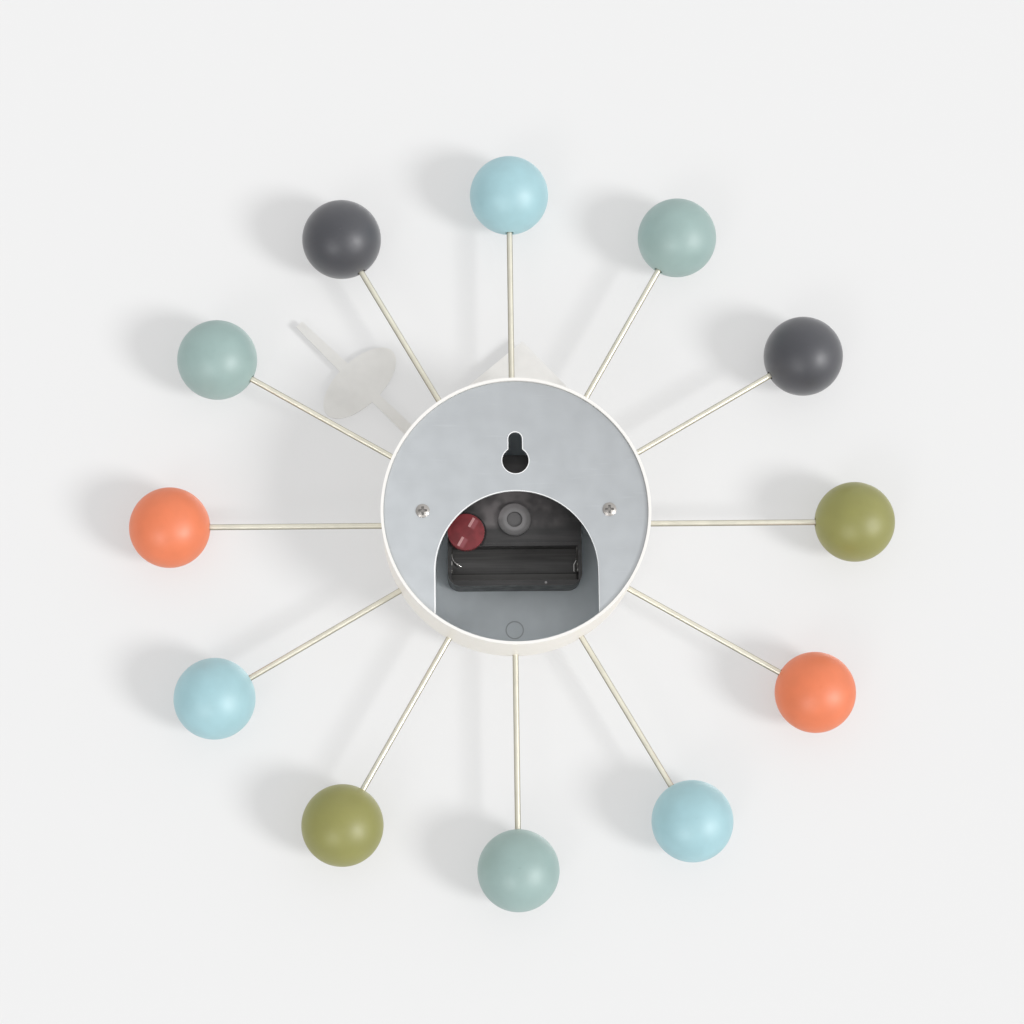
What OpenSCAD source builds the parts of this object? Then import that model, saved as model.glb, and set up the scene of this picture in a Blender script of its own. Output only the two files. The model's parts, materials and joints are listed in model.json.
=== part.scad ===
// Ball wall clock: a round sheet-metal case that carries twelve painted balls on thin rods,
// with a battery quartz movement inside, a screwed back plate with a keyhole, and two flat hands.
//
// Each piece is laid out face down, as the clock lies on a table: X to the right seen from the back,
// Y towards 12 o'clock, and Z from the plane of the rods towards the wall.
// hung() then turns it to the part's own frame: +Z up, the face towards -Y, the wall on the +Y side,
// and the origin at the centre of the keyhole's entry hole, on the outer face of the back plate.

/* [Balls and rods] */
// Diameter of a ball
ball_d = 34.6; // [26:0.2:44]
// Radius of the ring on which the centres of the balls lie
ring_r = 147.7; // [125:0.1:190]
// Diameter of a rod
rod_d = 2.5; // [2.2:0.1:4]
// Diameter of the threaded neck that passes through the case wall
rod_neck_d = 1.9; // [1.4:0.1:2]
// Depth to which a rod enters its ball
rod_depth = 12; // [6:0.5:16]
// Diameter of the mouth drilled where a rod enters its ball
mouth_d = 3.8; // [3:0.1:5.5]
// Depth of that mouth, from the ball's outermost point
mouth_depth = 1; // [0.5:0.1:2]
// Width across the flats of the nut that holds a rod inside the case
rod_nut_w = 4; // [3.6:0.1:6]
// Thickness of that nut
rod_nut_t = 1.6; // [1:0.1:3]

/* [Case] */
// Outer diameter of the case
case_d = 113; // [104:0.5:130]
// Thickness of the case's sheet metal
case_wall = 1.2; // [0.8:0.1:2]
// Outside radius of the bend between the case's wall and its front
case_bend_r = 3; // [2.2:0.1:6]
// Distance from the plane of the rods to the case's front
case_front = 7; // [5.5:0.1:10]
// Distance from the plane of the rods to the case's back rim
case_back = 36; // [30:0.5:50]
// Diameter of the round press mark in the case floor
mark_d = 7.4; // [4:0.1:10]
// Depth of the press mark
mark_depth = 0.3; // [0.1:0.05:0.6]
// Distance of the press mark below the centre
mark_drop = 45; // [40:0.5:47]

/* [Back plate] */
// Thickness of the back plate
plate_t = 1.2; // [0.8:0.1:2]
// Distance of the plate's outer face inside the back rim
plate_recess = 1.2; // [1.2:0.1:4]
// Width of the arched opening in the plate
arch_w = 67.8; // [62:0.2:70]
// Height of the top of the arch above the centre
arch_top = 8.2; // [4:0.1:11]
// Diameter of the keyhole's entry hole
keyhole_d = 11.2; // [8:0.1:13]
// Height of the entry hole above the centre
keyhole_rise = 21.2; // [19:0.1:28]
// Width of the keyhole's slot
slot_w = 5.9; // [4:0.1:7]
// Height of the slot's upper end above the entry hole
slot_rise = 9.2; // [7:0.1:14]
// Distance of a plate screw from the centre line
screw_x = 39; // [38:0.1:42]
// Diameter of a plate screw's thread
screw_d = 3; // [2:0.1:4]
// Diameter of a plate screw's head
screw_head_d = 5.8; // [5:0.1:8]
// Height of a plate screw's head
screw_head_h = 1.1; // [0.8:0.1:1.2]
// Length of a plate screw below its head
screw_len = 8; // [5:0.5:14]
// Diameter of a post that carries the plate
post_d = 7; // [6:0.1:9]

/* [Movement] */
// Width of the movement
movement_w = 57; // [55.5:0.1:60]
// Height of the movement
movement_h = 56.5; // [55:0.1:60]
// Radius of the movement's corners
movement_corner_r = 5.2; // [3:0.1:5.4]
// Thickness of the movement's walls
movement_wall = 1.5; // [1:0.1:1.8]
// Height of the joint line between shell and cover, above the movement's front
split_h = 9.8; // [8:0.1:11]
// Thickness of the rubber gasket between movement and case
gasket_t = 1; // [0.5:0.1:2]
// Side of the square gasket
gasket_w = 40; // [30:0.5:50]
// Diameter of the battery cell
cell_d = 14.5; // [14:0.1:15.2]
// Clearance round the battery cell
cell_gap = 0.3; // [0.2:0.05:0.6]
// Thickness by which the movement's lower wall is stouter than the others
bay_lip_w = 0.8; // [0:0.1:1.5]
// Thickness of the wall between battery bay and wheels
partition_t = 1.2; // [0.8:0.1:1.4]
// Diameter of the boss at the centre of the cover
boss_d = 14; // [10:0.1:16]
// Height of that boss
boss_h = 1.8; // [1:0.1:3]
// Diameter of the recess in the boss
boss_recess_d = 6.3; // [4:0.1:8]
// Diameter of the set knob
knob_d = 15.7; // [12:0.1:17]
// Thickness of the set knob
knob_t = 3.4; // [2:0.1:5]
// Depth of the pocket that the set knob sits in
knob_sink = 0.8; // [0.4:0.1:0.8]
// Diameter of the set knob's shaft
knob_shaft_d = 3; // [2:0.1:4]
// Thickness of the battery contacts' strip
contact_t = 0.4; // [0.3:0.05:0.6]
// Width of the battery contacts' strip
contact_w = 7; // [5:0.1:9]
// Distance of the sprung contact's bend below the bay's upper wall
spring_drop = 3.2; // [1:0.1:5]
// Radius of the bend of the sprung contact's arm
spring_r = 4.8; // [3.5:0.1:5]

/* [Bushing and hands] */
// Diameter of the threaded bushing through the case
bushing_d = 10; // [9:0.1:12]
// Length of the bushing's thread that stands free of its nut
bushing_tail = 1.4; // [0.5:0.1:2]
// Diameter of the hour pipe
hour_pipe_d = 5; // [4.6:0.1:6]
// Diameter of the minute pipe
minute_pipe_d = 3; // [2.6:0.1:3.6]
// Diameter of the arbor inside the minute pipe
arbor_d = 1; // [0.8:0.1:1.4]
// Width across the flats of the bushing nut
bushing_nut_w = 14; // [13:0.1:18]
// Thickness of the bushing nut
bushing_nut_t = 2.1; // [1.5:0.1:4]
// Diameter of the bushing washer
washer_d = 17; // [14:0.1:22]
// Thickness of the bushing washer
washer_t = 0.5; // [0.3:0.1:1]
// Gap between the hour pipe's end and the minute hand
hand_gap = 1.2; // [0.8:0.1:2]
// Thickness of the hands' sheet
hand_t = 0.6; // [0.4:0.1:1]
// Diameter of the hands' hubs
hub_d = 11; // [9:0.1:14]
// Distance from the centre to the minute hand's tip
minute_tip = 131.8; // [115:0.1:134]
// Distance from the centre to the middle of the minute hand's ellipse
ellipse_at = 94; // [80:0.1:100]
// Length of the ellipse across the hand
ellipse_w = 40.6; // [30:0.1:50]
// Length of the ellipse along the hand
ellipse_h = 20; // [14:0.1:28]
// Width of the minute hand at its tip
minute_tip_w = 3.7; // [2:0.1:5]
// Width of the tip bar where it leaves the ellipse
minute_bar_w = 5.6; // [4:0.1:8]
// Width of the stem where it meets the ellipse
minute_stem_w = 4.4; // [3:0.1:7]
// Distance from the centre to the hour hand's apex
hour_tip = 84.4; // [75:0.1:95]
// Width of the hour hand's triangle at its base
triangle_w = 48; // [40:0.5:60]
// Height of the hour hand's triangle
triangle_h = 22.6; // [18:0.1:30]
// Width of both stems at the hub
stem_w = 6.5; // [5:0.1:9]
// Width of the hour hand's stem at its triangle
hour_stem_w = 5; // [3:0.1:8]
// Diameter of the hand nut
hand_nut_d = 6.4; // [5.4:0.1:9]
// Height of the hand nut
hand_nut_h = 2.5; // [2:0.1:3.5]
// Angle of the minute hand, clockwise from 12 seen from the front
minute_angle = 45; // [0:1:359]
// Angle of the hour hand, clockwise from 12 seen from the front
hour_angle = -3.6; // [-180:0.1:180]

/* [Wheel train] */
// Thickness of every wheel and pinion
wheel_t = 0.8; // [0.6:0.05:1]
// Gap between one wheel's level and the next
level_gap = 0.5; // [0.3:0.05:0.6]
// Tooth module of the pair from the minute pipe to the motion wheel
motion_module = 0.54; // [0.5:0.01:0.56]
// Tooth module of the pair from the centre wheel to the third wheel
centre_module = 0.28; // [0.26:0.005:0.3]
// Tooth module of the pair from the seconds wheel to the fifth wheel
seconds_module = 0.45; // [0.42:0.01:0.48]
// Tooth module of the pair from the fifth wheel to the rotor
rotor_module = 0.28; // [0.26:0.005:0.3]
// Diameter of the rotor's magnet
magnet_d = 5.2; // [4:0.1:6]
// Height of the rotor's magnet
magnet_h = 2.4; // [1.6:0.1:3]
// Diameter of the fixed pins on which the wheels turn
pin_d = 1; // [0.8:0.05:1.2]
// Diameter of the fixed pin on which the rotor turns
rotor_pin_d = 0.5; // [0.4:0.05:0.6]
// Diameter of the coil's winding
winding_d = 5.4; // [4.6:0.1:5.6]
// Width of the stator
stator_w = 22; // [20:0.5:24]
// Thickness of the stator, the coil's core and the circuit board
stator_t = 0.8; // [0.6:0.05:1]

/* [Hidden] */
$fn = 64;
// Hours on the dial, one ball each
hours = 12;
// Radial clearance of a shaft that turns in a hole
run_gap = 0.05;
// Radial clearance of a fixed fit
fix_gap = 0.03;
// Clearance between neighbouring fixed pieces, and between a moving piece and its neighbours
part_gap = 0.4;
// Clearance between the back plate's edge and the case wall
plate_gap = 0.25;
// Room round the set knob in its pocket
knob_room = 0.9;
// Overshoot of a cut past the face that it opens
cut = 1;

// Teeth of each wheel and pinion, which set the ratios between minute, hour, knob and rotor
minute_teeth = 10;
motion_teeth = 30;
motion_pinion_teeth = 10;
hour_teeth = 40;
knob_teeth = 12;
centre_teeth = 60;
third_pinion_teeth = 8;
third_teeth = 64;
seconds_pinion_teeth = 8;
seconds_teeth = 30;
fifth_pinion_teeth = 8;
fifth_teeth = 48;
rotor_teeth = 6;

// Directions from one wheel axis to the next, in degrees from X
motion_dir = 180;
knob_dir = 209;
third_dir = 60;
fifth_dir = 150;
rotor_dir = 100;

// Tooth form, as shares of the module and of the tooth pitch
tooth_out = 0.75;
tooth_in = 1.15;
tooth_tip_share = 0.16;
tooth_root_share = 0.56;

// Radii
ball_r = ball_d / 2;
case_r = case_d / 2;
case_in_r = case_r - case_wall;
plate_r = case_in_r - plate_gap;
bushing_r = bushing_d / 2;
hour_pipe_r = hour_pipe_d / 2;
minute_pipe_r = minute_pipe_d / 2;
arbor_r = arbor_d / 2;
pin_r = pin_d / 2;

// Levels from the rods' plane towards the wall
plate_face = case_back - plate_recess;
plate_inner = plate_face - plate_t;
floor_face = case_wall - case_front;
movement_front = floor_face + gasket_t;
shell_floor = movement_front + movement_wall;
level_step = wheel_t + level_gap;
hour_level = shell_floor + level_gap;
motion_level = hour_level + level_step;
centre_level = motion_level + level_step;
third_level = centre_level + level_step;
seconds_level = third_level + level_step;
fifth_level = seconds_level + level_step;
magnet_level = fifth_level + level_step;
stator_level = magnet_level + (magnet_h - stator_t) / 2;
train_top = magnet_level + max(magnet_h, (winding_d + magnet_h) / 2) + level_gap;
cover_inner = max(shell_floor + cell_d + cell_gap - movement_wall, train_top);
movement_back = cover_inner + movement_wall;
split_level = movement_front + split_h;
boss_top = movement_back + boss_h;
pocket_level = movement_back - knob_sink;
knob_level = pocket_level + part_gap;

// Levels from the case's front towards the face
washer_front = -case_front - washer_t;
nut_front = washer_front - bushing_nut_t;
bushing_front = nut_front - bushing_tail;
hour_hand_level = bushing_front - part_gap - hand_t;
hour_pipe_front = hour_hand_level - part_gap;
minute_hand_level = hour_pipe_front - hand_gap - hand_t;
minute_pipe_front = minute_hand_level - hand_nut_h / 2;
hand_nut_front = minute_hand_level - hand_nut_h;

// Axes of the wheels that don't turn about the centre
function polar(r, dir) = [r * cos(dir), r * sin(dir)];
function pair_distance(teeth_a, teeth_b, size) = (teeth_a + teeth_b) * size / 2;
motion_distance = pair_distance(minute_teeth, motion_teeth, motion_module);
hour_module = 2 * motion_distance / (motion_pinion_teeth + hour_teeth);
motion_axis = polar(motion_distance, motion_dir);
knob_axis = motion_axis + polar(pair_distance(motion_teeth, knob_teeth, motion_module), knob_dir);
third_distance = pair_distance(centre_teeth, third_pinion_teeth, centre_module);
third_module = 2 * third_distance / (third_teeth + seconds_pinion_teeth);
third_axis = polar(third_distance, third_dir);
fifth_axis = polar(pair_distance(seconds_teeth, fifth_pinion_teeth, seconds_module), fifth_dir);
rotor_axis = fifth_axis + polar(pair_distance(fifth_teeth, rotor_teeth, rotor_module), rotor_dir);

// Angle of a tooth on the second wheel of a pair, so that it meets a gap of the first
function mesh_phase(teeth_a, phase_a, teeth_b, dir) =
    dir + 180 - 360 / teeth_b * (0.5 - teeth_a * (dir - phase_a) / 360);
motion_phase = mesh_phase(minute_teeth, 0, motion_teeth, motion_dir);
hour_phase = mesh_phase(motion_pinion_teeth, 0, hour_teeth, motion_dir + 180);
knob_phase = mesh_phase(motion_teeth, motion_phase, knob_teeth, knob_dir);
third_pinion_phase = mesh_phase(centre_teeth, 0, third_pinion_teeth, third_dir);
seconds_pinion_phase = mesh_phase(third_teeth, 0, seconds_pinion_teeth, third_dir + 180);
fifth_pinion_phase = mesh_phase(seconds_teeth, 0, fifth_pinion_teeth, fifth_dir);
rotor_phase = mesh_phase(fifth_teeth, 0, rotor_teeth, rotor_dir);

// Reach of the movement's housing below and above the centre: the cell has to clear the hour wheel
hour_wheel_r = hour_module * (hour_teeth / 2 + tooth_out);
cell_room = partition_t + cell_d + cell_gap + bay_lip_w + movement_wall;
movement_below = max(movement_h / 2, hour_wheel_r + part_gap + cell_room);
movement_above = movement_h - movement_below;
movement_middle = (movement_above - movement_below) / 2;

// Battery bay, below the wheels, open towards the wall
bay_w = movement_w - 2 * movement_wall;
bay_low = movement_wall + bay_lip_w - movement_below;
bay_high = bay_low + cell_d + cell_gap;
partition_high = bay_high + partition_t;
bay_middle = (bay_low + bay_high) / 2;
contact_level = (movement_back + shell_floor) / 2;

// Coil and stator, above the rotor
stator_margin = 1.5;
stator_bar_h = magnet_d + 2 * stator_margin;
stator_leg_w = 4;
magnet_hole_r = magnet_d / 2 + part_gap;
stator_left = rotor_axis[0] - stator_w / 2;
core_h = 2.6;
coil_y = movement_above - movement_wall - part_gap - winding_d / 2;
coil_level = stator_level - stator_t / 2;
stator_top = coil_y + core_h / 2;
flange_t = 0.8;
winding_depth = 0.7;
bobbin_len = stator_w - 2 * stator_leg_w - 2 * part_gap;
bobbin_r = winding_d / 2 - winding_depth;

// Circuit board, beside the coil
board_left = stator_left + stator_w + 2 * part_gap;
board_right = bay_w / 2 - contact_t - part_gap;
board_low = third_axis[1] + pin_d + part_gap;
board_high = movement_above - movement_wall - movement_corner_r / 2;
crystal_d = 2;
crystal_len = 6;
chip_d = 5;
chip_h = 1.1;
board_post_d = 2.4;
board_post_inset = 3;

// Colours
light_blue = [0.67, 0.83, 0.87];
sage = [0.63, 0.73, 0.71];
dark_grey = [0.36, 0.36, 0.38];
olive = [0.62, 0.63, 0.38];
orange = [0.86, 0.45, 0.27];
cream = [0.93, 0.92, 0.88];
champagne = [0.82, 0.79, 0.68];
zinc_grey = [0.76, 0.78, 0.79];
steel = [0.72, 0.72, 0.74];
brass = [0.8, 0.66, 0.35];
copper = [0.72, 0.42, 0.25];
black_plastic = [0.13, 0.13, 0.14];
white_plastic = [0.9, 0.9, 0.88];
rubber_black = [0.09, 0.09, 0.09];
dark_red = [0.52, 0.18, 0.2];
board_green = [0.16, 0.36, 0.24];
// From 12 o'clock, clockwise seen from the front
ball_colours = [
    light_blue, dark_grey, sage, orange, light_blue, olive,
    sage, light_blue, orange, olive, dark_grey, sage
];

// Turns a piece from its face-down layout to the part's own frame
module hung() {
    translate([0, -plate_face, -keyhole_rise])
        rotate([90, 0, 180])
            children();
}

// Turns a piece laid along Y to the direction of an hour
module at_hour(hour) {
    rotate([0, 0, hour * 360 / hours])
        children();
}

// A cylinder along Y from one distance to another
module spoke(from, to, d) {
    translate([0, from, 0])
        rotate([-90, 0, 0])
            cylinder(h = to - from, d = d);
}

// A round piece along Z from one level to another
module disc(from, to, d) {
    translate([0, 0, from])
        cylinder(h = to - from, d = d);
}

// A block between two corners
module block(low, high) {
    translate(low)
        cube(high - low);
}

// A rectangle with round corners, centred, as a plate between two levels
module rounded_plate(w, h, r, from, to) {
    translate([0, 0, from])
        linear_extrude(to - from)
            union() {
                square([w - 2 * r, h], center = true);
                square([w, h - 2 * r], center = true);
                for (sx = [-1, 1], sy = [-1, 1])
                    translate([sx * (w / 2 - r), sy * (h / 2 - r)])
                        circle(r);
            }
}

// A toothed wheel of one thickness at a level, with a tooth at its phase angle
module toothed(teeth, size, phase, level, height) {
    root_r = teeth * size / 2 - tooth_in * size;
    tip_r = teeth * size / 2 + tooth_out * size;
    pitch = 360 / teeth;
    corners = [
        [root_r, -tooth_root_share / 2],
        [tip_r, -tooth_tip_share / 2],
        [tip_r, tooth_tip_share / 2],
        [root_r, tooth_root_share / 2]
    ];
    translate([0, 0, level])
        linear_extrude(height)
            polygon([
                for (tooth = [0 : teeth - 1], corner = corners)
                    polar(corner[0], phase + (tooth + corner[1]) * pitch)
            ]);
}

// Case: a deep round cup with a bent front edge, open at the back
module case() {
    bend_in_r = case_bend_r - case_wall;
    color(cream)
        hung()
            difference() {
                rotate_extrude($fn = 128)
                    difference() {
                        cup_profile(case_r, -case_front, case_back, case_bend_r);
                        cup_profile(case_in_r, floor_face, case_back + cut, bend_in_r);
                    }
                disc(-case_front - cut, movement_front, bushing_d + 2 * fix_gap);
                translate([0, -mark_drop, 0])
                    disc(floor_face - mark_depth, floor_face + cut, mark_d);
                for (hour = [1 : hours])
                    at_hour(hour)
                        spoke(case_in_r - cut, case_r + cut, rod_neck_d + 2 * fix_gap);
            }
}

// Half section of a cup's outside or inside, with its bent edge at the low end
module cup_profile(r, low, high, bend_r) {
    translate([0, low])
        square([r - bend_r, high - low]);
    translate([0, low + bend_r])
        square([r, high - low - bend_r]);
    translate([r - bend_r, low + bend_r])
        intersection() {
            circle(bend_r);
            translate([0, -bend_r])
                square(bend_r);
        }
}

// Back plate: a disc with an arched opening down to its edge, a keyhole and two screw holes
module back_plate() {
    arch_r = arch_w / 2;
    color(zinc_grey)
        hung()
            difference() {
                translate([0, 0, plate_inner])
                    cylinder(h = plate_t, r = plate_r, $fn = 128);
                translate([0, arch_top - arch_r, 0])
                    disc(plate_inner - cut, plate_face + cut, arch_w);
                block(
                    [-arch_r, -case_r, plate_inner - cut],
                    [arch_r, arch_top - arch_r, plate_face + cut]
                );
                translate([0, keyhole_rise, 0])
                    keyhole_cut();
                at_screws()
                    disc(plate_inner - cut, plate_face + cut, screw_d + 2 * fix_gap);
            }
}

// Cut of the keyhole: a round entry and a narrower slot above it
module keyhole_cut() {
    disc(plate_inner - cut, plate_face + cut, keyhole_d);
    translate([0, slot_rise, 0])
        disc(plate_inner - cut, plate_face + cut, slot_w);
    block(
        [-slot_w / 2, 0, plate_inner - cut],
        [slot_w / 2, slot_rise, plate_face + cut]
    );
}

// Places a piece at both plate screws
module at_screws() {
    for (side = [-1, 1])
        translate([side * screw_x, 0, 0])
            children();
}

// Plate screws: domed heads with a cross recess
module cover_screws() {
    dome_r = screw_head_d * 0.9;
    recess_w = screw_head_d * 0.16;
    recess_len = screw_head_d * 0.6;
    recess_depth = screw_head_h * 0.6;
    color(steel)
        hung()
            at_screws() {
                disc(plate_face - screw_len, plate_face, screw_d);
                difference() {
                    intersection() {
                        disc(plate_face, plate_face + screw_head_h, screw_head_d);
                        translate([0, 0, plate_face + screw_head_h - dome_r])
                            sphere(dome_r);
                    }
                    for (turn = [0, 90])
                        rotate([0, 0, turn])
                            translate([0, 0, plate_face + screw_head_h])
                                cube([recess_len, recess_w, 2 * recess_depth], center = true);
                }
            }
}

// Posts between the case floor and the back plate, tapped for the plate screws
module cover_posts() {
    color(steel)
        hung()
            at_screws()
                difference() {
                    disc(floor_face, plate_inner, post_d);
                    disc(plate_face - screw_len - cut, plate_inner + cut, screw_d + 2 * fix_gap);
                }
}

// Rod: a plain spoke with a thinner threaded neck at the case and a blind end in its ball
module rod(hour) {
    color(champagne)
        hung()
            at_hour(hour) {
                spoke(rod_nut_seat - rod_nut_t - part_gap, case_r, rod_neck_d);
                spoke(case_r, ring_r - ball_r + rod_depth, rod_d);
            }
}
rod_nut_seat = sqrt(pow(case_in_r, 2) - pow(rod_nut_w / sqrt(3), 2));

// Nuts that hold the rods inside the case wall
module rod_nuts() {
    color(steel)
        hung()
            for (hour = [1 : hours])
                at_hour(hour)
                    difference() {
                        translate([0, rod_nut_seat - rod_nut_t, 0])
                            rotate([-90, 0, 0])
                                cylinder(h = rod_nut_t, r = rod_nut_w / sqrt(3), $fn = 6);
                        spoke(rod_nut_seat - rod_nut_t - cut, rod_nut_seat + cut, rod_neck_d + 2 * fix_gap);
                    }
}

// Ball: a painted sphere, drilled towards the centre for its rod
module ball(hour) {
    near = ring_r - ball_r;
    color(ball_colours[hour % hours])
        hung()
            at_hour(hour)
                difference() {
                    translate([0, ring_r, 0])
                        sphere(ball_r);
                    spoke(near - cut, near + rod_depth + fix_gap, rod_d + 2 * fix_gap);
                    spoke(near - cut, near + mouth_depth, mouth_d);
                }
}

// Movement shell: the front half of the housing with the bushing, and the whole battery bay
module movement_shell() {
    color(black_plastic)
        hung()
            difference() {
                union() {
                    difference() {
                        housing_block(0, movement_front, movement_back);
                        block(
                            [-movement_w, partition_high, split_level],
                            [movement_w, movement_h, movement_back + cut]
                        );
                        intersection() {
                            housing_block(movement_wall, shell_floor, movement_back + cut);
                            block(
                                [-movement_w, partition_high, shell_floor - cut],
                                [movement_w, movement_h, movement_back + cut]
                            );
                        }
                        block(
                            [-bay_w / 2, bay_low, shell_floor],
                            [bay_w / 2, bay_high, movement_back + cut]
                        );
                    }
                    disc(bushing_front, shell_floor, bushing_d);
                    translate(motion_axis)
                        disc(shell_floor - movement_wall / 2, motion_level + wheel_t, pin_d);
                }
                disc(bushing_front - cut, shell_floor + cut, hour_pipe_d + 2 * run_gap);
                translate(knob_axis)
                    disc(shell_floor - movement_wall / 2, shell_floor + cut, pin_d + 2 * run_gap);
                knob_pocket();
                for (side = [-1, 1])
                    contact_slot(side);
            }
}

// Round pocket in the housing's back for the set knob
module knob_pocket() {
    translate(knob_axis)
        disc(pocket_level, movement_back + cut, knob_d + 2 * knob_room);
}

// Block of the movement's outline, smaller by an inset all round
module housing_block(inset, from, to) {
    translate([0, movement_middle, 0])
        rounded_plate(
            movement_w - 2 * inset, movement_h - 2 * inset, movement_corner_r - inset,
            from, to
        );
}

// Slot in the bay's partition for a contact's tail
module contact_slot(side) {
    middle = side * (bay_w - contact_t) / 2;
    half_w = contact_t / 2 + fix_gap;
    half_h = contact_w / 4 + fix_gap;
    block(
        [middle - half_w, bay_high - cut, contact_level - half_h],
        [middle + half_w, partition_high + cut, contact_level + half_h]
    );
}

// Movement cover: closes the wheels' side, with the centre boss and the pins of three wheels
module movement_cover() {
    cover_low = partition_high + fix_gap;
    color(black_plastic)
        hung()
            difference() {
                union() {
                    difference() {
                        intersection() {
                            housing_block(0, split_level, movement_back);
                            block(
                                [-movement_w, cover_low, split_level],
                                [movement_w, movement_h, movement_back]
                            );
                        }
                        housing_block(movement_wall, split_level - cut, cover_inner);
                    }
                    disc(cover_inner, boss_top, boss_d);
                    wheel_pin(third_axis, centre_level, pin_d);
                    wheel_pin(fifth_axis, seconds_level, pin_d);
                    wheel_pin(rotor_axis, fifth_level, rotor_pin_d);
                    for (x = [board_left + board_post_inset, board_right - board_post_inset])
                        translate([x, board_high - board_post_inset, 0])
                            disc(stator_level + stator_t, cover_inner + movement_wall / 2, board_post_d);
                    for (x = [stator_left, stator_left + stator_w - stator_leg_w])
                        translate([x + stator_leg_w / 2, stator_top - board_post_inset / 2, 0])
                            disc(stator_level + stator_t, cover_inner + movement_wall / 2, board_post_d);
                }
                disc(cover_inner - cut, movement_back, arbor_d + 2 * run_gap);
                disc(movement_back + boss_h / 2, boss_top + cut, boss_recess_d);
                translate(knob_axis)
                    disc(cover_inner - cut, movement_back + cut, knob_shaft_d + 2 * run_gap);
                knob_pocket();
            }
}

// A fixed pin from the cover down to the level of a wheel's pinion
module wheel_pin(axis, level, d) {
    translate(axis)
        disc(level, cover_inner + movement_wall / 2, d);
}

// Rubber gasket between the movement and the case floor
module movement_gasket() {
    color(rubber_black)
        hung()
            difference() {
                rounded_plate(gasket_w, gasket_w, movement_corner_r, floor_face, movement_front);
                disc(floor_face - cut, movement_front + cut, bushing_d + 2 * part_gap);
            }
}

// Washer on the bushing, outside the case
module bushing_washer() {
    color(brass)
        hung()
            difference() {
                disc(washer_front, -case_front, washer_d);
                disc(washer_front - cut, cut - case_front, bushing_d + 2 * fix_gap);
            }
}

// Nut on the bushing, which clamps the movement to the case
module bushing_nut() {
    color(brass)
        hung()
            difference() {
                translate([0, 0, nut_front])
                    cylinder(h = bushing_nut_t, r = bushing_nut_w / sqrt(3), $fn = 6);
                disc(nut_front - cut, washer_front + cut, bushing_d + 2 * fix_gap);
            }
}

// Circuit board with its sealed chip, on the cover's posts
module circuit_board() {
    color(board_green)
        hung() {
            block(
                [board_left, board_low, stator_level],
                [board_right, board_high, stator_level + stator_t]
            );
            translate([(board_left + board_right) / 2, board_low + chip_d, 0])
                disc(stator_level - chip_h, stator_level, chip_d);
        }
}

// Quartz crystal: a small metal can lying on the board
module quartz_crystal() {
    color(steel)
        hung()
            translate([board_left + crystal_d, board_high - crystal_d, stator_level - crystal_d / 2])
                rotate([0, 90, 0])
                    cylinder(h = crystal_len, d = crystal_d);
}

// Places a piece along the coil's axis, from the left leg of the stator
module along_coil(from) {
    translate([stator_left + from, coil_y, coil_level])
        rotate([0, 90, 0])
            children();
}

// Coil bobbin: a barrel with two flanges and a slot for the core
module coil_bobbin() {
    start = stator_leg_w + part_gap;
    color(white_plastic)
        hung()
            difference() {
                along_coil(start) {
                    cylinder(h = bobbin_len, r = bobbin_r);
                    for (end = [0, bobbin_len - flange_t])
                        translate([0, 0, end])
                            cylinder(h = flange_t, d = winding_d);
                }
                core_block(fix_gap);
            }
}

// Coil winding: the wire's outer shape between the bobbin's flanges
module coil_winding() {
    start = stator_leg_w + part_gap + flange_t;
    wound_len = bobbin_len - 2 * flange_t;
    color(copper)
        hung()
            along_coil(start)
                difference() {
                    cylinder(h = wound_len, d = winding_d - part_gap);
                    translate([0, 0, -cut])
                        cylinder(h = wound_len + 2 * cut, r = bobbin_r + fix_gap);
                }
}

// Bar through the coil, lying under both legs of the stator
module coil_core() {
    color(steel)
        hung()
            core_block(0);
}

// Block of the coil's core, larger by a gap all round its section
module core_block(gap) {
    low_level = stator_level - stator_t;
    block(
        [stator_left, coil_y - core_h / 2 - gap, low_level - gap],
        [stator_left + stator_w, coil_y + core_h / 2 + gap, stator_level + gap]
    );
}

// Stator: a flat yoke with a round hole for the magnet and two legs to the coil's core
module stator() {
    bar_low = rotor_axis[1] - stator_bar_h / 2;
    bar_high = rotor_axis[1] + stator_bar_h / 2;
    color(steel)
        hung()
            difference() {
                union() {
                    block(
                        [stator_left, bar_low, stator_level],
                        [stator_left + stator_w, bar_high, stator_level + stator_t]
                    );
                    for (x = [stator_left, stator_left + stator_w - stator_leg_w])
                        block(
                            [x, bar_low, stator_level],
                            [x + stator_leg_w, stator_top, stator_level + stator_t]
                        );
                }
                translate(rotor_axis)
                    disc(stator_level - cut, stator_level + stator_t + cut, 2 * magnet_hole_r);
            }
}

// Rotor: a round magnet with its pinion, on a fixed pin
module rotor() {
    color(steel)
        hung()
            translate(rotor_axis)
                difference() {
                    union() {
                        toothed(rotor_teeth, rotor_module, rotor_phase, fifth_level, level_step);
                        disc(magnet_level, magnet_level + magnet_h, magnet_d);
                    }
                    disc(fifth_level - cut, magnet_level + magnet_h + cut, rotor_pin_d + 2 * run_gap);
                }
}

// A wheel with its pinion in front of it, bored for a fixed pin
module wheel_on_pin(pinion_level, wheel_level, d) {
    difference() {
        children();
        disc(pinion_level - cut, wheel_level + wheel_t + cut, d + 2 * run_gap);
    }
}

// Fifth wheel, between the rotor and the seconds wheel
module fifth_wheel() {
    color(white_plastic)
        hung()
            translate(fifth_axis)
                wheel_on_pin(seconds_level, fifth_level, pin_d)
                    union() {
                        toothed(
                            fifth_pinion_teeth, seconds_module, fifth_pinion_phase,
                            seconds_level, level_step
                        );
                        toothed(fifth_teeth, rotor_module, 0, fifth_level, wheel_t);
                    }
}

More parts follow.
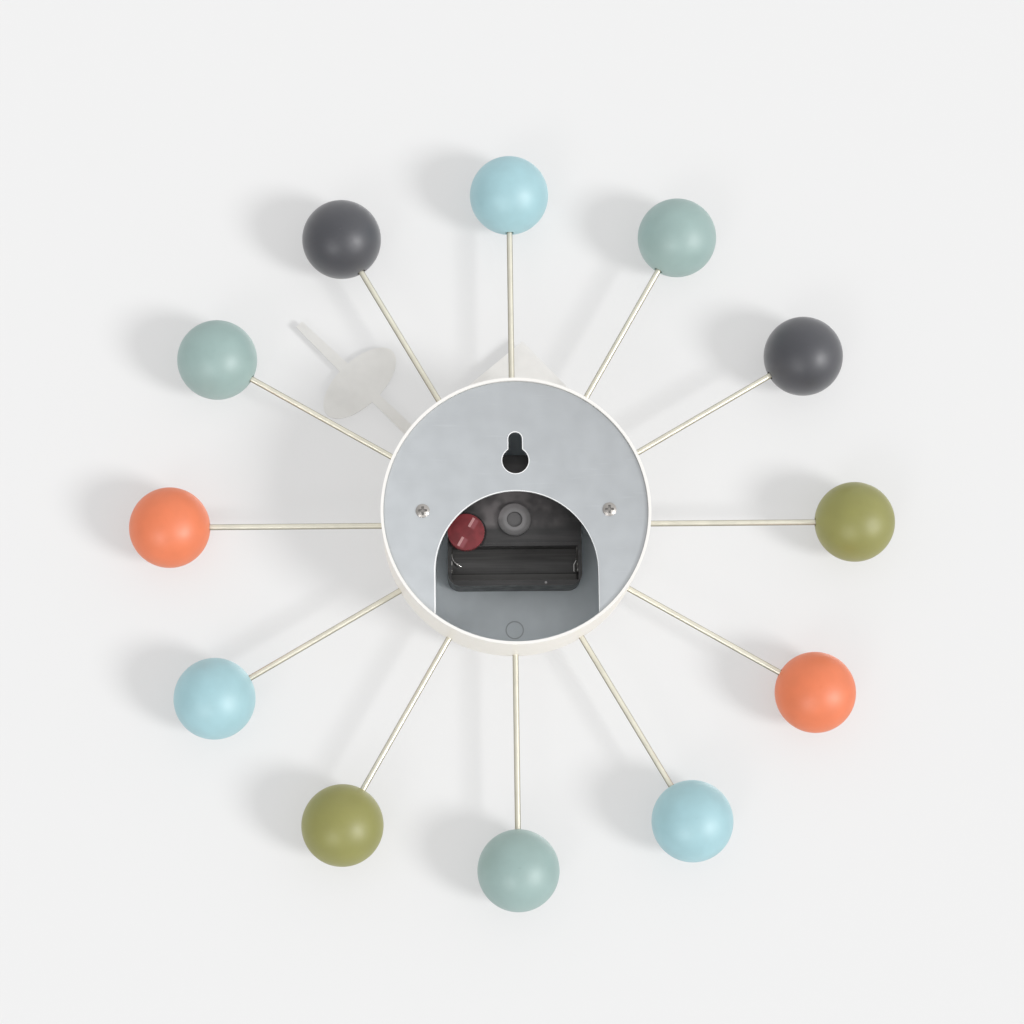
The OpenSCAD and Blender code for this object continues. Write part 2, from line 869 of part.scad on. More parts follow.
// Seconds wheel, whose arbor runs inside the minute pipe and in the cover's boss
module seconds_wheel() {
    color(white_plastic)
        hung() {
            toothed(seconds_pinion_teeth, third_module, seconds_pinion_phase, third_level, level_step);
            toothed(seconds_teeth, seconds_module, 0, seconds_level, wheel_t);
            disc(bushing_front, movement_back - movement_wall / 2, arbor_d);
        }
}

// Third wheel, between the seconds wheel and the centre wheel
module third_wheel() {
    color(white_plastic)
        hung()
            translate(third_axis)
                wheel_on_pin(centre_level, third_level, pin_d)
                    union() {
                        toothed(
                            third_pinion_teeth, centre_module, third_pinion_phase,
                            centre_level, level_step
                        );
                        toothed(third_teeth, third_module, 0, third_level, wheel_t);
                    }
}

// Centre wheel: turns once an hour, with the minute pipe that carries the minute hand
module centre_wheel() {
    color(brass)
        hung()
            difference() {
                union() {
                    toothed(minute_teeth, motion_module, 0, motion_level, level_step);
                    toothed(centre_teeth, centre_module, 0, centre_level, wheel_t);
                    disc(minute_pipe_front, motion_level, minute_pipe_d);
                }
                disc(minute_pipe_front - cut, centre_level + wheel_t + cut, arbor_d + 2 * run_gap);
            }
}

// Motion wheel: steps the minute pipe down to the hour wheel, and takes the set knob's pinion
module motion_wheel() {
    color(white_plastic)
        hung()
            translate(motion_axis)
                wheel_on_pin(hour_level, motion_level, pin_d)
                    union() {
                        toothed(motion_pinion_teeth, hour_module, 0, hour_level, level_step);
                        toothed(motion_teeth, motion_module, motion_phase, motion_level, wheel_t);
                    }
}

// Hour wheel with the hour pipe that carries the hour hand
module hour_wheel() {
    color(white_plastic)
        hung()
            difference() {
                union() {
                    toothed(hour_teeth, hour_module, hour_phase, hour_level, wheel_t);
                    disc(hour_pipe_front, hour_level, hour_pipe_d);
                }
                disc(hour_pipe_front - cut, hour_level + wheel_t + cut, minute_pipe_d + 2 * run_gap);
            }
}

// Set knob: a ribbed disc outside the cover, with its shaft and the pinion on the motion wheel
module set_knob() {
    ribs = 36;
    rib_d = knob_d * PI / ribs / 2;
    groove_w = 1;
    groove_len = knob_d * 0.24;
    groove_at = knob_d * 0.3;
    groove_dir = 60;
    color(dark_red)
        hung()
            translate(knob_axis)
                difference() {
                    union() {
                        disc(knob_level, knob_level + knob_t, knob_d);
                        disc(motion_level, knob_level, knob_shaft_d);
                        disc(shell_floor - movement_wall / 4, motion_level, pin_d);
                        toothed(knob_teeth, motion_module, knob_phase, motion_level, wheel_t);
                    }
                    for (rib = [1 : ribs])
                        rotate([0, 0, rib * 360 / ribs])
                            translate([knob_d / 2 + rib_d / 4, 0, 0])
                                disc(knob_level - cut / 4, knob_level + knob_t + cut, rib_d);
                    for (side = [-1, 1])
                        rotate([0, 0, groove_dir])
                            translate([side * groove_at, 0, knob_level + knob_t])
                                cube([groove_len, groove_w, groove_w], center = true);
                }
}

// Positive contact: a flat strip at one end of the bay, with a tail to the circuit board
module contact_positive() {
    right = bay_w / 2 - fix_gap;
    tail_half = contact_w / 4;
    color(steel)
        hung() {
            block(
                [right - contact_t, bay_middle - contact_w / 2, contact_level - contact_w / 2],
                [right, bay_middle + contact_w / 2, contact_level + contact_w / 2]
            );
            block(
                [right - contact_t, bay_middle, contact_level - tail_half],
                [right, board_low + board_post_inset, contact_level + tail_half]
            );
        }
}

// Negative contact: a strip at the other end of the bay, with a sprung arm bent into the bay
module contact_negative() {
    left = -bay_w / 2 + fix_gap;
    arm_top = bay_high - spring_drop;
    arm_turn = 60;
    arm_steps = 12;
    arm_dirs = [for (i = [0 : arm_steps]) 180 + arm_turn * i / arm_steps];
    arm_end = polar(spring_r - contact_t / 2, 180 + arm_turn);
    tail_half = contact_w / 4;
    color(steel)
        hung() {
            block(
                [left, bay_middle - contact_w / 2, contact_level - contact_w / 2],
                [left + contact_t, arm_top, contact_level + contact_w / 2]
            );
            block(
                [left, bay_middle, contact_level - tail_half],
                [left + contact_t, partition_high + contact_w, contact_level + tail_half]
            );
            translate([left + spring_r, arm_top, contact_level - contact_w / 2])
                linear_extrude(contact_w)
                    polygon(concat(
                        [for (dir = arm_dirs) polar(spring_r, dir)],
                        [for (i = [arm_steps : -1 : 0]) polar(spring_r - contact_t, arm_dirs[i])]
                    ));
            translate([left + spring_r + arm_end[0], arm_top + arm_end[1], 0])
                disc(contact_level - contact_w / 2, contact_level + contact_w / 2, 2 * contact_t);
        }
}

// A hand's sheet at a level, cut from an outline and bored for its pipe
module hand_sheet(level, pipe_d) {
    difference() {
        translate([0, 0, level])
            linear_extrude(hand_t)
                children();
        disc(level - cut, level + hand_t + cut, pipe_d + 2 * fix_gap);
    }
}

// A tapered bar along Y
module bar_outline(from, to, from_w, to_w) {
    polygon([
        [-from_w / 2, from],
        [from_w / 2, from],
        [to_w / 2, to],
        [-to_w / 2, to]
    ]);
}

// Hour hand: a stem with a wide triangle whose apex points outwards
module hour_hand() {
    base = hour_tip - triangle_h;
    color(white_plastic)
        hung()
            rotate([0, 0, hour_angle]) {
                hand_sheet(hour_hand_level, hour_pipe_d)
                    union() {
                        circle(d = hub_d);
                        bar_outline(0, base, stem_w, hour_stem_w);
                        polygon([[-triangle_w / 2, base], [triangle_w / 2, base], [0, hour_tip]]);
                    }
            }
}

// Minute hand: a stem with an ellipse across it, and a tapered bar to the tip
module minute_hand() {
    sides = 96;
    color(white_plastic)
        hung()
            rotate([0, 0, minute_angle])
                hand_sheet(minute_hand_level, minute_pipe_d)
                    union() {
                        circle(d = hub_d);
                        bar_outline(0, ellipse_at, stem_w, minute_stem_w);
                        bar_outline(ellipse_at, minute_tip, minute_bar_w, minute_tip_w);
                        translate([0, ellipse_at])
                            polygon([
                                for (dir = [0 : 360 / sides : 359])
                                    [ellipse_w / 2 * cos(dir), ellipse_h / 2 * sin(dir)]
                            ]);
                    }
}

// Closed nut that holds the minute hand on its pipe
module hand_nut() {
    color(white_plastic)
        hung()
            difference() {
                disc(hand_nut_front, minute_hand_level, hand_nut_d);
                disc(minute_pipe_front, minute_hand_level + cut, minute_pipe_d + 2 * fix_gap);
            }
}

case();
back_plate();
cover_screws();
cover_posts();
rod_nuts();
for (hour = [1 : hours]) {
    rod(hour);
    ball(hour);
}
movement_shell();
movement_cover();
movement_gasket();
bushing_washer();
bushing_nut();
circuit_board();
quartz_crystal();
coil_bobbin();
coil_winding();
coil_core();
stator();
rotor();
fifth_wheel();
seconds_wheel();
third_wheel();
centre_wheel();
motion_wheel();
hour_wheel();
set_knob();
contact_positive();
contact_negative();
hour_hand();
minute_hand();
hand_nut();
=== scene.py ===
"""Looks of the ball wall clock: finishes, rounded edges and moulded details.

The script also sets up the clock's stage, light and camera.
"""

import json
import math

import bmesh
import bpy
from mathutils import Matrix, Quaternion, Vector


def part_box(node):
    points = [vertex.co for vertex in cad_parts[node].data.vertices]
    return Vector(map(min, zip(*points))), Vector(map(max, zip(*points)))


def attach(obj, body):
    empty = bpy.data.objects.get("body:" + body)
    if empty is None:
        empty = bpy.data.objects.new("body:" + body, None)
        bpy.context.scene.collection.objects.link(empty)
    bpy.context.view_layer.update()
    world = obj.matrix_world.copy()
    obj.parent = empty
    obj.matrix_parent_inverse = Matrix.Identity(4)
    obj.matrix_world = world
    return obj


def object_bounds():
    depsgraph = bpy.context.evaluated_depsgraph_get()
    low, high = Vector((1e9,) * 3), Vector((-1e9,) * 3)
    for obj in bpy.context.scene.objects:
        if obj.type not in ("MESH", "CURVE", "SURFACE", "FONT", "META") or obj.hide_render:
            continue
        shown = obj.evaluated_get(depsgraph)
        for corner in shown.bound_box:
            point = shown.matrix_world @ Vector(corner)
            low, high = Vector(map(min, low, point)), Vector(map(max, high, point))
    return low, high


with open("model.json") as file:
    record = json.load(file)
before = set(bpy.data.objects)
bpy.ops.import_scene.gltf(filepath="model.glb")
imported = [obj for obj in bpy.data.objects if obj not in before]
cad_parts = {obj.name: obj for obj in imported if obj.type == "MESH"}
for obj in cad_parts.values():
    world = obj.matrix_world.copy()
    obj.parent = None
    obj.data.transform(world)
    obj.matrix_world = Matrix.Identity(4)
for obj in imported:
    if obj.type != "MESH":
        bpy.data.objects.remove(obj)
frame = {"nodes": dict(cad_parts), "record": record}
cad_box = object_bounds()

MM = 0.001

# Places on the clock, from the frame: the back faces +Y, and 12 o'clock is up along +Z
plate_low, plate_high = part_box("back_plate")
case_low, case_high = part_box("case")
shell_low, shell_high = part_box("movement_shell")
knob_low, knob_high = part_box("set_knob")
dial_centre = (case_low + case_high) / 2
case_r = (case_high.x - case_low.x) / 2
plate_r = (plate_high.x - plate_low.x) / 2
knob_centre = (knob_low + knob_high) / 2
wall_level = Vector((0, case_high.y, 0))

# Softness of painted lines, and clearance of fitted pieces
hair = 0.1 * MM

# Sizes on the case and its plate
sheet_t = 1.2 * MM
# The rim's top band is painted whiter than the wall, a painted highlight
rim_highlight_band = 0.7 * MM
keyhole_r = 5.6 * MM
slot_r = 2.95 * MM
slot_rise = 9.2 * MM
# The pale lips round the keyhole and the arch are a painted highlight on the lit punched edges
keyhole_highlight_w = 0.3 * MM
arch_r = 33.9 * MM
arch_rise = 8.2 * MM
arch_highlight_w = 0.55 * MM
arch_highlight_share = 0.25
lip_h = 0.05 * MM
lip_depth = 0.5 * MM
bead_drop = 0.3 * MM
bead_w = 0.5 * MM
bead_h = 0.2 * MM
press_mark_drop = 45 * MM
press_mark_r = 3.7 * MM
# Width of the press mark's dark outline, which is painted shade
press_mark_line = 0.25 * MM

# Sizes on the movement: its boss and the painted light patch round it, and the gate mark
boss_r = 7 * MM
boss_recess_r = 3.15 * MM
lit_patch_drop = 3 * MM
lit_patch_r = 24 * MM
gate_place = Vector((-13, 0, -27)) * MM
gate_r = 0.6 * MM

# Sizes in the battery bay: the trough for the cell, the contact strips, the sprung wire and the tab
bay_length = 54 * MM
bay_width = 14.8 * MM
bay_wall = 2.3 * MM
# The trough is painted paler below this height, painted light on its slope
slope_rise = 4.9 * MM
strip_reach = 0.6 * MM
spring_r = 4.8 * MM
spring_drop = 3.2 * MM
spring_turn = 60
wire_r = 0.2 * MM
wire_rise = 1 * MM
wire_reach = 2.4 * MM
tab_r = 0.25 * MM
tab_len = 5.4 * MM
tab_bulge = 1.3 * MM

# Sizes of the knob's marks and of the paler bands of painted light on the slopes beside them
knob_mark_at = 4.7 * MM
knob_mark_len = 4.3 * MM
knob_mark_w = 1.1 * MM
knob_mark_deep = 0.4 * MM
knob_mark_proud = hair / 3
knob_mark_turn = math.radians(60)
knob_mark_along = Vector((-math.cos(knob_mark_turn), 0, math.sin(knob_mark_turn)))
knob_mark_across = Vector((knob_mark_along.z, 0, -knob_mark_along.x))
knob_slope_w = 2.3 * MM
knob_slope_soft = 0.4 * MM

# Camera of the photograph: a long lens over the clock's back, from a little below 6 o'clock
camera_place = Vector((33.9, 1018.6, -208.7)) * MM + wall_level
camera_aim = Vector((1.7, -2.2, -21.8)) * MM + wall_level
camera_roll = math.radians(-0.8)
camera_lens = 87.4

# Directions to the lamps
key_place = (-0.70, 0.64, -0.31)
second_place = (0.38, 0.68, -0.62)
front_place = (-0.45, -0.75, 0.5)

# Edge rounding of the pieces that show, by node
edge_radius = {
    "case": 0.4 * MM,
    "back_plate": 0.2 * MM,
    "cover_screws": 0.08 * MM,
    "movement_shell": 0.4 * MM,
    "movement_cover": 0.4 * MM,
    "set_knob": 0.25 * MM,
    "bushing_nut": 0.2 * MM,
    "bushing_washer": 0.1 * MM,
    "hour_hand": 0.22 * MM,
    "minute_hand": 0.22 * MM,
    "hand_nut": 0.4 * MM,
}
edge_segments = 3
flat_angle = math.radians(0.3)
sharp_angle = math.radians(40)


def linear(red, green, blue):
    """Colour in linear light from its screen values of 0 to 255."""
    def decode(value):
        share = value / 255
        return share / 12.92 if share <= 0.04045 else ((share + 0.055) / 1.055) ** 2.4
    return (decode(red), decode(green), decode(blue), 1.0)


def shaded(colour, share):
    """The colour made darker or lighter by a share."""
    return tuple(channel * share for channel in colour[:3]) + (1.0,)


class NodeMaker:
    """Adds nodes to the tree of a material or of the surround."""

    # Sockets of the mix node, for numbers and for colours
    NUMBER_A, NUMBER_B, NUMBER_RESULT = 2, 3, 0
    COLOUR_A, COLOUR_B, COLOUR_RESULT = 6, 7, 2

    # Where most values of a noise lie
    NOISE_LOW, NOISE_HIGH = 0.35, 0.65

    def __init__(self, tree):
        self.nodes = tree.nodes
        self.links = tree.links

    def add(self, kind, inputs, **options):
        """A node with its options set, and its inputs given as values or taken from other nodes."""
        node = self.nodes.new(kind)
        for option, value in options.items():
            setattr(node, option, value)
        for socket, value in inputs.items():
            if isinstance(value, bpy.types.NodeSocket):
                self.links.new(value, node.inputs[socket])
            else:
                node.inputs[socket].default_value = value
        return node

    def math(self, operation, first, second):
        """One sum on two values."""
        inputs = {0: first, 1: second}
        return self.add("ShaderNodeMath", inputs, operation=operation).outputs["Value"]

    def unsigned(self, value):
        """A value without its sign."""
        return self.add("ShaderNodeMath", {0: value}, operation="ABSOLUTE").outputs["Value"]

    def dot(self, first, second):
        """How far one vector reaches along another."""
        inputs = {0: first, 1: second}
        return self.add("ShaderNodeVectorMath", inputs, operation="DOT_PRODUCT").outputs["Value"]

    def spread(self, value, low, high, start=NOISE_LOW, end=NOISE_HIGH):
        """Stretches a pattern from start..end to low..high."""
        inputs = {
            "Value": value, "From Min": start, "From Max": end, "To Min": low, "To Max": high}
        return self.add("ShaderNodeMapRange", inputs).outputs["Result"]

    def between(self, mask, first, second):
        """A number between two, by a mask."""
        inputs = {0: mask, self.NUMBER_A: first, self.NUMBER_B: second}
        return self.add("ShaderNodeMix", inputs).outputs[self.NUMBER_RESULT]

    def tint(self, mask, first, second):
        """A colour between two, by a mask."""
        inputs = {0: mask, self.COLOUR_A: first, self.COLOUR_B: second}
        return self.add("ShaderNodeMix", inputs, data_type="RGBA").outputs[self.COLOUR_RESULT]

    def light_path(self):
        """What kind of ray meets the surface."""
        return self.add("ShaderNodeLightPath", {}).outputs


class Finish(NodeMaker):
    """A material in the making: its main shader, and patterns in the piece's own coordinates."""

    # How far a face of a sheet faces along the sheet's axis, at least
    FLAT = 0.9

    def __init__(self, name, **settings):
        self.material = bpy.data.materials.new(name)
        self.material.use_nodes = True
        super().__init__(self.material.node_tree)
        self.shader = self.nodes["Principled BSDF"]
        self.texture = self.add("ShaderNodeTexCoord", {})
        for setting, value in settings.items():
            socket = setting.replace("_", " ").title().replace("Ior", "IOR")
            self.shader.inputs[socket].default_value = value

    def feed(self, socket, output):
        """Drives a socket of the main shader."""
        self.links.new(output, self.shader.inputs[socket])

    def place(self, stretch=(1, 1, 1)):
        """The piece's own coordinates, squeezed along the axes by the given factors."""
        inputs = {"Vector": self.texture.outputs["Object"], "Scale": stretch}
        return self.add("ShaderNodeMapping", inputs).outputs["Vector"]

    def noise(self, size, detail=2.0, stretch=(1, 1, 1)):
        """Cloudy values round a half, with features of the given size."""
        inputs = {"Vector": self.place(stretch), "Scale": 1 / size, "Detail": detail}
        return self.add("ShaderNodeTexNoise", inputs).outputs["Fac"]

    def mottled(self, colour, size, share):
        """The colour with cloudy patches that are lighter and darker by a share."""
        dark, light = shaded(colour, 1 - share), shaded(colour, 1 + share)
        return self.tint(self.spread(self.noise(size), 0, 1), dark, light)

    def uneven(self, size, low, high):
        """Roughness that wanders between two values, in patches of the given size."""
        self.feed("Roughness", self.spread(self.noise(size), low, high))

    def relief(self, height, depth):
        """Bumps the surface by a pattern of the given depth."""
        node = self.add("ShaderNodeBump", {"Height": height, "Distance": depth})
        self.feed("Normal", node.outputs["Normal"])

    def grain(self, size, depth, detail=2.0, stretch=(1, 1, 1)):
        """Bumps the surface by a noise of the given size and depth."""
        self.relief(self.noise(size, detail, stretch), depth)

    def facing(self, axis):
        """How far the surface faces along an axis, to either side."""
        normal = self.add("ShaderNodeSeparateXYZ", {0: self.texture.outputs["Normal"]})
        return self.unsigned(normal.outputs[axis])

    def edges(self, axis):
        """Mask of the surfaces that turn from an axis, such as the rounded edge of a sheet."""
        return self.math("LESS_THAN", self.facing(axis), self.FLAT)

    def along(self, direction):
        """Place of the surface along a direction."""
        return self.dot(self.texture.outputs["Object"], direction)

    def level(self):
        """Place of the surface along the clock's axis, towards the wall."""
        return self.along((0, 1, 0))

    def height(self):
        """Place of the surface towards 12 o'clock."""
        return self.along((0, 0, 1))

    def radius(self, centre):
        """Distance of the surface from a line along the clock's axis."""
        offset = self.add(
            "ShaderNodeVectorMath", {0: self.texture.outputs["Object"], 1: centre},
            operation="SUBTRACT").outputs[0]
        across = self.add(
            "ShaderNodeVectorMath", {0: offset, 1: (1, 0, 1)}, operation="MULTIPLY").outputs[0]
        return self.add("ShaderNodeVectorMath", {0: across}, operation="LENGTH").outputs["Value"]

    def band(self, value, low, high, soft):
        """Mask of the values from low to high, with soft ends."""
        rise = self.spread(value, 0, 1, low - soft, low + soft)
        fall = self.spread(value, 1, 0, high - soft, high + soft)
        return self.math("MULTIPLY", rise, fall)

    def above(self, value, limit, soft):
        """Mask of the values over a limit, with a soft start."""
        return self.spread(value, 0, 1, limit - soft, limit + soft)

    def crevices(self, reach):
        """Mask of the corners and grooves that a reach closes in."""
        node = self.add(
            "ShaderNodeAmbientOcclusion", {"Distance": reach}, samples=8, only_local=True)
        return self.spread(node.outputs["AO"], 1, 0, start=0.35, end=0.85)

    def worn(self, reach):
        """Mask of the edges and corners that wear first."""
        rounded = self.add("ShaderNodeBevel", {"Radius": reach}, samples=4).outputs["Normal"]
        true = self.add("ShaderNodeNewGeometry", {}).outputs["Normal"]
        return self.spread(self.dot(rounded, true), 1, 0, start=0.8, end=0.99)

    def glow(self, colour, strength):
        """A shader that shines by itself."""
        inputs = {"Color": colour, "Strength": strength}
        return self.add("ShaderNodeEmission", inputs).outputs[0]

    def mix_shader(self, mask, first, second):
        """A shader between two, by a mask."""
        return self.add("ShaderNodeMixShader", {0: mask, 1: first, 2: second}).outputs[0]


def plain_finish(name, colour, patch, rough, grain, depth):
    """A finish with cloudy colour, uneven roughness, a fine grain and edges rubbed lighter."""
    finish = Finish(name)
    clouded = finish.mottled(colour, size=patch, share=0.04)
    rubbed = finish.tint(finish.worn(reach=0.4 * MM), clouded, shaded(colour, 1.15))
    finish.feed("Base Color", rubbed)
    finish.uneven(size=grain * 3, low=rough * 0.9, high=rough * 1.1)
    finish.grain(size=grain, depth=depth, detail=4)
    return finish.material


def ball_paint(name, colour, sheen):
    """Satin lacquer on a turned ball, with the faint waves of a sprayed coat."""
    finish = Finish(name, specular_ior_level=0.8, sheen_weight=sheen)
    finish.feed("Base Color", finish.mottled(colour, size=9 * MM, share=0.03))
    finish.uneven(size=5 * MM, low=0.46, high=0.52)
    finish.grain(size=1.6 * MM, depth=0.006 * MM)
    return finish.material


def case_paint(outside, rim, inside):
    """Off-white lacquer with its rim painted whiter as a painted highlight; grey inside, the press
    mark outlined in painted shade.
    """
    finish = Finish("case_paint")
    level = finish.level()
    inner = finish.math("LESS_THAN", finish.radius(dial_centre), case_r - sheet_t + hair)
    covered = finish.band(
        level, case_low.y + sheet_t / 2, plate_low.y + sheet_t / 2, soft=hair)
    # Painted shade: a dark line outlines the press mark.
    mark_centre = dial_centre - Vector((0, 0, press_mark_drop))
    mark = finish.band(
        finish.radius(mark_centre),
        press_mark_r - press_mark_line, press_mark_r + press_mark_line, soft=hair)
    grey = finish.mottled(inside, size=10 * MM, share=0.03)
    coated = finish.tint(mark, grey, shaded(inside, 0.6))
    face = finish.math("LESS_THAN", level, case_low.y + sheet_t)
    front_edge = finish.math("MULTIPLY", finish.worn(reach=0.6 * MM), face)
    white = finish.mottled(outside, size=14 * MM, share=0.008)
    coat = finish.tint(front_edge, white, shaded(outside, 0.93))
    # Painted highlight: the rim's top band is painted whiter than the wall.
    shell = finish.tint(finish.above(level, case_high.y - rim_highlight_band, soft=hair), coat, rim)
    finish.feed("Base Color", finish.tint(finish.math("MULTIPLY", inner, covered), shell, coated))
    finish.uneven(size=3 * MM, low=0.34, high=0.44)
    finish.grain(size=2.2 * MM, depth=0.008 * MM)
    return finish.material


def plate_zinc(face):
    """Cool grey sheet, cloudy and finely scratched, with painted light and shade across it and a
    painted highlight on its edges.
    """
    finish = Finish("plate_zinc", metallic=0.25)
    # Painted light and shade: the sheet is painted darker to one side and lighter to the other.
    lean = Vector((0.7, 0, -0.7))
    middle = lean.dot(dial_centre)
    slope = finish.spread(finish.along(lean), 0, 1, middle - case_r, middle + case_r)
    dim = finish.mottled(shaded(face, 0.87), size=12 * MM, share=0.03)
    light = finish.mottled(shaded(face, 1.12), size=12 * MM, share=0.03)
    streaks = finish.noise(size=1.2 * MM, stretch=(0.06, 1, 1))
    scratches = finish.spread(streaks, 0, 0.35, start=0.62, end=0.75)
    sheet = finish.tint(scratches, finish.tint(slope, dim, light), shaded(face, 1.12))
    # Painted highlight: the sheet's edges are painted brighter.
    finish.feed("Base Color", finish.tint(finish.edges("Y"), sheet, shaded(face, 1.2)))
    finish.uneven(size=6 * MM, low=0.4, high=0.52)
    finish.grain(size=0.8 * MM, depth=0.004 * MM, detail=3)
    return finish.material


def drawn_metal(name, colour, rough, metallic=1.0):
    """Plated wire or turned metal, gently uneven, its corners and grooves darkened by painted
    shade.
    """
    finish = Finish(name, metallic=metallic)
    clouded = finish.mottled(colour, size=6 * MM, share=0.04)
    # Painted shade: corners and grooves are painted darker.
    crevice_shade = finish.tint(finish.crevices(reach=1.5 * MM), clouded, shaded(colour, 0.12))
    finish.feed("Base Color", crevice_shade)
    finish.uneven(size=4 * MM, low=rough * 0.9, high=rough * 1.1)
    finish.grain(size=3 * MM, depth=0.006 * MM)
    return finish.material


def rod_plating(bright, painted_shade):
    """Champagne plating, painted lighter facing back and front and darker on its flanks, as painted
    light and shade.
    """
    finish = Finish("rod_champagne", metallic=0.6)
    # Painted light and shade: faces towards the back and front are painted lighter, the flanks
    # darker.
    lit_faces = finish.spread(finish.facing("Y"), 0, 1, start=0.3, end=0.8)
    plated = finish.mottled(bright, size=7 * MM, share=0.04)
    finish.feed("Base Color", finish.tint(lit_faces, painted_shade, plated))
    finish.uneven(size=5 * MM, low=0.38, high=0.44)
    finish.grain(size=3 * MM, depth=0.004 * MM)
    return finish.material


def contact_spring(worn, painted_shade):
    """Spring strip painted dark as painted shade, bright on the arm as a painted highlight and in
    patches that a cell rubs.
    """
    finish = Finish("contact_spring", metallic=0.9)
    sideways = finish.unsigned(finish.along((1, 0, 0)))
    # Painted highlight: the arm, between the strip's ends, is painted bright; the rest is painted
    # shade.
    arm = finish.math("LESS_THAN", sideways, bay_length / 2 - strip_reach)
    patches = finish.spread(finish.noise(size=2.5 * MM), 0, 1, start=0.56, end=0.66)
    rubbed = finish.math("MAXIMUM", arm, patches)
    finish.feed("Base Color", finish.tint(rubbed, painted_shade, worn))
    finish.feed("Roughness", finish.spread(rubbed, 0.5, 0.25, start=0, end=1))
    finish.grain(size=1.5 * MM, depth=0.004 * MM)
    return finish.material


def black_with_painted_light(finish, away, colour, dust_and_lit_patch):
    """Black painted lighter towards 12 o'clock as painted light, with dust streaks and a painted
    light patch round the boss.
    """
    height = finish.height()
    # Painted light: the black runs from a shaded copy at 6 o'clock to a lit copy at 12 o'clock.
    rise = finish.spread(height, 0, 1, shell_low.z, shell_high.z)
    deep = finish.mottled(shaded(colour, 0.75), size=7 * MM, share=0.12)
    pale = finish.mottled(shaded(colour, 1.5), size=7 * MM, share=0.12)
    long_noise = finish.noise(size=1.6 * MM, stretch=(0.05, 1, 1))
    streaks = finish.spread(long_noise, 0, 0.15, start=0.5, end=0.7)
    streaked_and_lit = finish.tint(streaks, finish.tint(rise, deep, pale), dust_and_lit_patch)
    # Painted light: a patch above the boss's middle takes the pale colour.
    upper = finish.above(height, dial_centre.z - lit_patch_drop, soft=1.2 * MM)
    near = finish.spread(away, 1, 0, lit_patch_r / 2, lit_patch_r)
    patches = finish.spread(finish.noise(size=9 * MM), 0.3, 1, start=0.42, end=0.58)
    lit_patch = finish.math("MULTIPLY", near, patches)
    return finish.tint(finish.math("MULTIPLY", upper, lit_patch), streaked_and_lit, dust_and_lit_patch)


def boss_rings(finish, away, ground, boss):
    """The pale boss on its ground: a bright ring whose fade outwards is painted shade, round a
    recess painted darker and outlined dark as painted shade.
    """
    raised = finish.above(finish.level(), shell_high.y + hair * 2, soft=hair)
    # Painted shade: the ring's fade outwards.
    inner = finish.spread(away, 0.9, 0.4, boss_r * 0.62, boss_r * 0.78)
    outer = finish.spread(away, 1, 0.3, boss_r * 0.85, boss_r)
    fading = finish.math("MULTIPLY", inner, outer)
    ring = finish.tint(finish.math("MULTIPLY", raised, fading), ground, boss)
    # Painted shade: the recess and the line round it are painted darker.
    recess = finish.math("LESS_THAN", away, boss_recess_r)
    outline = finish.band(away, boss_recess_r - hair, boss_recess_r + hair, soft=hair)
    return finish.tint(
        outline, finish.tint(recess, ring, shaded(boss, 0.55)), shaded(boss, 0.2))


def movement_black(colour, dust_and_lit_patch, boss):
    """Black moulding with a pale centre boss, a gate mark and rubbed edges, and painted shade in
    its corners.
    """
    finish = Finish("movement_black")
    away = finish.radius(dial_centre)
    ringed = boss_rings(finish, away, black_with_painted_light(finish, away, colour, dust_and_lit_patch), boss)
    gate = finish.spread(finish.radius(dial_centre + gate_place), 1, 0, gate_r * 0.7, gate_r)
    marked = finish.tint(gate, ringed, shaded(boss, 1.1))
    rubbed = finish.tint(finish.worn(reach=0.5 * MM), marked, shaded(colour, 1.8))
    # Painted shade: corners away from the boss are painted darker.
    off_boss = finish.above(away, boss_r * 1.2, soft=hair)
    corner_shade = finish.math("MULTIPLY", finish.crevices(reach=0.9 * MM), off_boss)
    finish.feed("Base Color", finish.tint(corner_shade, rubbed, shaded(colour, 0.5)))
    finish.uneven(size=4 * MM, low=0.32, high=0.46)
    finish.grain(size=0.5 * MM, depth=0.006 * MM, detail=3)
    return finish.material


def trough_black(colour):
    """Long-streaked black, painted lighter than the movement's as painted light in the bay, paler
    on its slope as painted light, with a painted shade edge.
    """
    finish = Finish("trough_black")
    long_noise = finish.noise(size=1.1 * MM, stretch=(0.04, 1, 1))
    streaks = finish.spread(long_noise, 0, 1, start=0.4, end=0.62)
    rubbed = finish.tint(streaks, shaded(colour, 0.86), shaded(colour, 1.14))
    height = finish.height()
    # Painted light: below the slope's top the black is painted twice as light; painted shade: a
    # dark band along that edge.
    slope_top = shell_low.z + bay_wall + slope_rise
    round_part = finish.above(height, slope_top, soft=hair)
    painted_lit_slope = finish.tint(round_part, shaded(colour, 2.0), rubbed)
    line = finish.band(height, slope_top - hair, slope_top + 2 * hair, soft=hair)
    finish.feed("Base Color", finish.tint(line, painted_lit_slope, shaded(colour, 0.3)))
    finish.uneven(size=3 * MM, low=0.34, high=0.48)
    finish.grain(size=0.8 * MM, depth=0.008 * MM, stretch=(0.1, 1, 1))
    return finish.material


